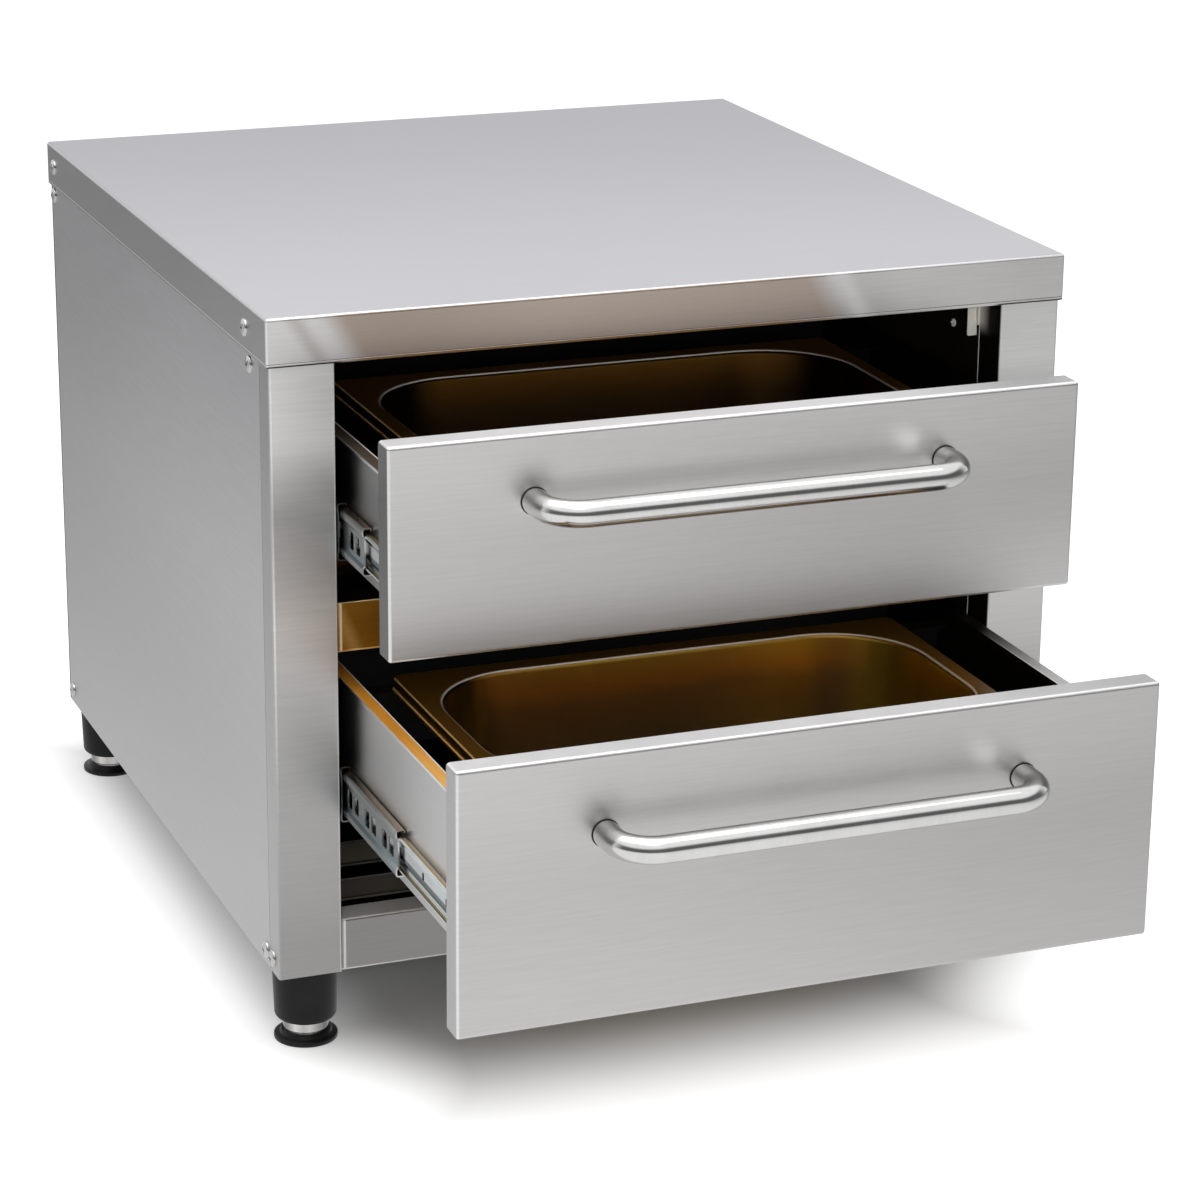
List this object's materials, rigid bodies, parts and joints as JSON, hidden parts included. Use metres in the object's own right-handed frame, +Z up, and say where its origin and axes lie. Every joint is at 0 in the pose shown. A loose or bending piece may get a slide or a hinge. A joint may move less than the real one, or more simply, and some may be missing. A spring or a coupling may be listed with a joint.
{
  "type": "warming drawer",
  "caption": "Free-standing stainless warming cabinet with pull-out pan drawers on telescopic slides, bent bar handles, strip heaters under the pans and screw-adjusted levelling feet.",
  "frame": {"origin": "on the floor under the middle of the casing, in the plane of the foot pads", "axes": "+X to the right along the front, +Y to the back, +Z up; the drawers open towards -Y"},
  "size_m": [0.8132, 1.2642, 0.725],
  "materials": {
    "casing_steel": "brushed stainless sheet, grain along each panel",
    "inner_steel": "mill-finish stainless sheet",
    "pan_steel": "satin drawn stainless",
    "handle_steel": "polished bent bar",
    "zinc_slide": "bright zinc plate",
    "bolt_steel": "plain stainless fasteners",
    "heater_steel": "heat-darkened sheath",
    "ceramic": "glazed ceramic",
    "black_plastic": "moulded, matt",
    "black_leg": "satin black moulding",
    "chrome_sleeve": "bright chrome plate",
    "black_pad": "matt black moulding"
  },
  "bodies": {
    "cabinet": {"back_panel": "casing_steel", "bottom_panel": "inner_steel", "bottom_rail": "inner_steel", "cable_gland": "black_plastic", "casing_bolts": "bolt_steel", "divider_shelf": "inner_steel", "element_standoffs": "ceramic", "front_left_post": "casing_steel", "front_right_post": "casing_steel", "left_inner_wall": "inner_steel", "left_side_panel": "casing_steel", "leg_sleeves": "black_leg", "lower_heating_element": "heater_steel", "lower_left_slide_outer": "zinc_slide", "lower_right_slide_outer": "zinc_slide", "middle_rail": "inner_steel", "right_inner_wall": "inner_steel", "right_side_panel": "casing_steel", "terminal_block": "black_plastic", "thermostat": "black_plastic", "top_brackets": "inner_steel", "top_panel": "casing_steel", "upper_heating_element": "heater_steel", "upper_left_slide_outer": "zinc_slide", "upper_right_slide_outer": "zinc_slide"},
    "front_left_foot": {"front_left_foot_pad": "black_pad", "front_left_foot_sleeve": "chrome_sleeve"},
    "front_right_foot": {"front_right_foot_pad": "black_pad", "front_right_foot_sleeve": "chrome_sleeve"},
    "lower_drawer": {"lower_drawer_back_wall": "inner_steel", "lower_drawer_front": "casing_steel", "lower_drawer_left_wall": "inner_steel", "lower_drawer_right_wall": "inner_steel", "lower_front_inner_plate": "inner_steel", "lower_handle": "handle_steel", "lower_handle_screws": "bolt_steel", "lower_left_slide_inner": "zinc_slide", "lower_pan": "pan_steel", "lower_pan_rails": "inner_steel", "lower_right_slide_inner": "zinc_slide"},
    "lower_slide_carriage": {"lower_left_slide_middle": "zinc_slide", "lower_right_slide_middle": "zinc_slide"},
    "rear_left_foot": {"rear_left_foot_pad": "black_pad", "rear_left_foot_sleeve": "chrome_sleeve"},
    "rear_right_foot": {"rear_right_foot_pad": "black_pad", "rear_right_foot_sleeve": "chrome_sleeve"},
    "upper_drawer": {"upper_drawer_back_wall": "inner_steel", "upper_drawer_front": "casing_steel", "upper_drawer_left_wall": "inner_steel", "upper_drawer_right_wall": "inner_steel", "upper_front_inner_plate": "inner_steel", "upper_handle": "handle_steel", "upper_handle_screws": "bolt_steel", "upper_left_slide_inner": "zinc_slide", "upper_pan": "pan_steel", "upper_pan_rails": "inner_steel", "upper_right_slide_inner": "zinc_slide"},
    "upper_slide_carriage": {"upper_left_slide_middle": "zinc_slide", "upper_right_slide_middle": "zinc_slide"}
  },
  "joints": [
    {"name": "upper_drawer_slide", "type": "slide", "parent": "cabinet", "child": "upper_drawer", "axis": [0, -1, 0], "range_m": [-0.1327, 0.3673]},
    {"name": "upper_carriage_slide", "type": "slide", "parent": "cabinet", "child": "upper_slide_carriage", "axis": [0, -1, 0], "range_m": [-0.06645, 0.18375]},
    {"name": "lower_drawer_slide", "type": "slide", "parent": "cabinet", "child": "lower_drawer", "axis": [0, -1, 0], "range_m": [-0.3137, 0.1863]},
    {"name": "lower_carriage_slide", "type": "slide", "parent": "cabinet", "child": "lower_slide_carriage", "axis": [0, -1, 0], "range_m": [-0.15695, 0.09325]},
    {"name": "front_left_foot_screw", "type": "slide", "parent": "cabinet", "child": "front_left_foot", "axis": [0, 0, -1], "range_m": [-0.012, 0.02]},
    {"name": "front_right_foot_screw", "type": "slide", "parent": "cabinet", "child": "front_right_foot", "axis": [0, 0, -1], "range_m": [-0.012, 0.02]},
    {"name": "rear_left_foot_screw", "type": "slide", "parent": "cabinet", "child": "rear_left_foot", "axis": [0, 0, -1], "range_m": [-0.012, 0.02]},
    {"name": "rear_right_foot_screw", "type": "slide", "parent": "cabinet", "child": "rear_right_foot", "axis": [0, 0, -1], "range_m": [-0.012, 0.02]}
  ],
  "couplings": [
    {"joint": "upper_carriage_slide", "follows": "upper_drawer_slide", "ratio": 0.5},
    {"joint": "lower_carriage_slide", "follows": "lower_drawer_slide", "ratio": 0.5}
  ]
}
